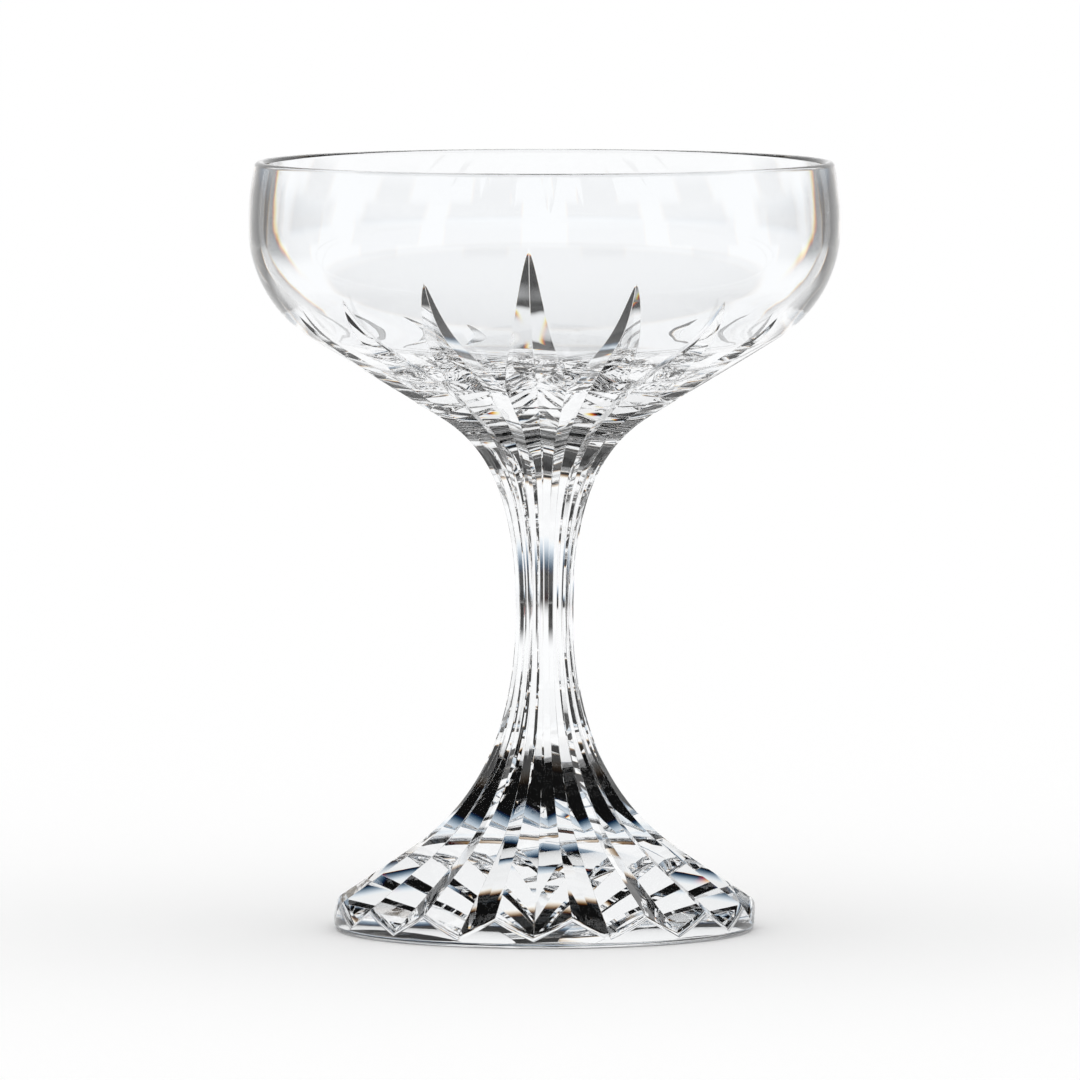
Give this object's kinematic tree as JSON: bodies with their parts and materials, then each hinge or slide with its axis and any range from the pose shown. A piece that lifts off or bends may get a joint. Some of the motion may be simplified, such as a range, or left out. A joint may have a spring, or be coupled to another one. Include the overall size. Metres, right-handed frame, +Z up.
{
  "type": "coupe glass",
  "caption": "Clear cut crystal coupe: a wide shallow bowl with V flutes rising into pointed petals, a slim waisted stem and a conical foot with a scalloped edge.",
  "frame": {"origin": "centre of the flat ring under the foot, level with the table", "axes": "+Z up along the stem towards the brim; -Y towards the side with the tallest petal; +X to the right seen from there"},
  "size_m": [0.1, 0.1, 0.13],
  "materials": {
    "crystal_bowl": "clear lead crystal, fire-polished inside and at the brim, wheel-cut and polished flutes",
    "crystal_stem": "clear lead crystal, wheel-cut and polished flutes",
    "crystal_foot": "clear lead crystal, wheel-cut and polished flutes, ground and polished underside with a shallow hollow"
  },
  "bodies": {
    "root": {"bowl": "crystal_bowl", "stem": "crystal_stem", "foot": "crystal_foot"}
  },
  "joints": []
}
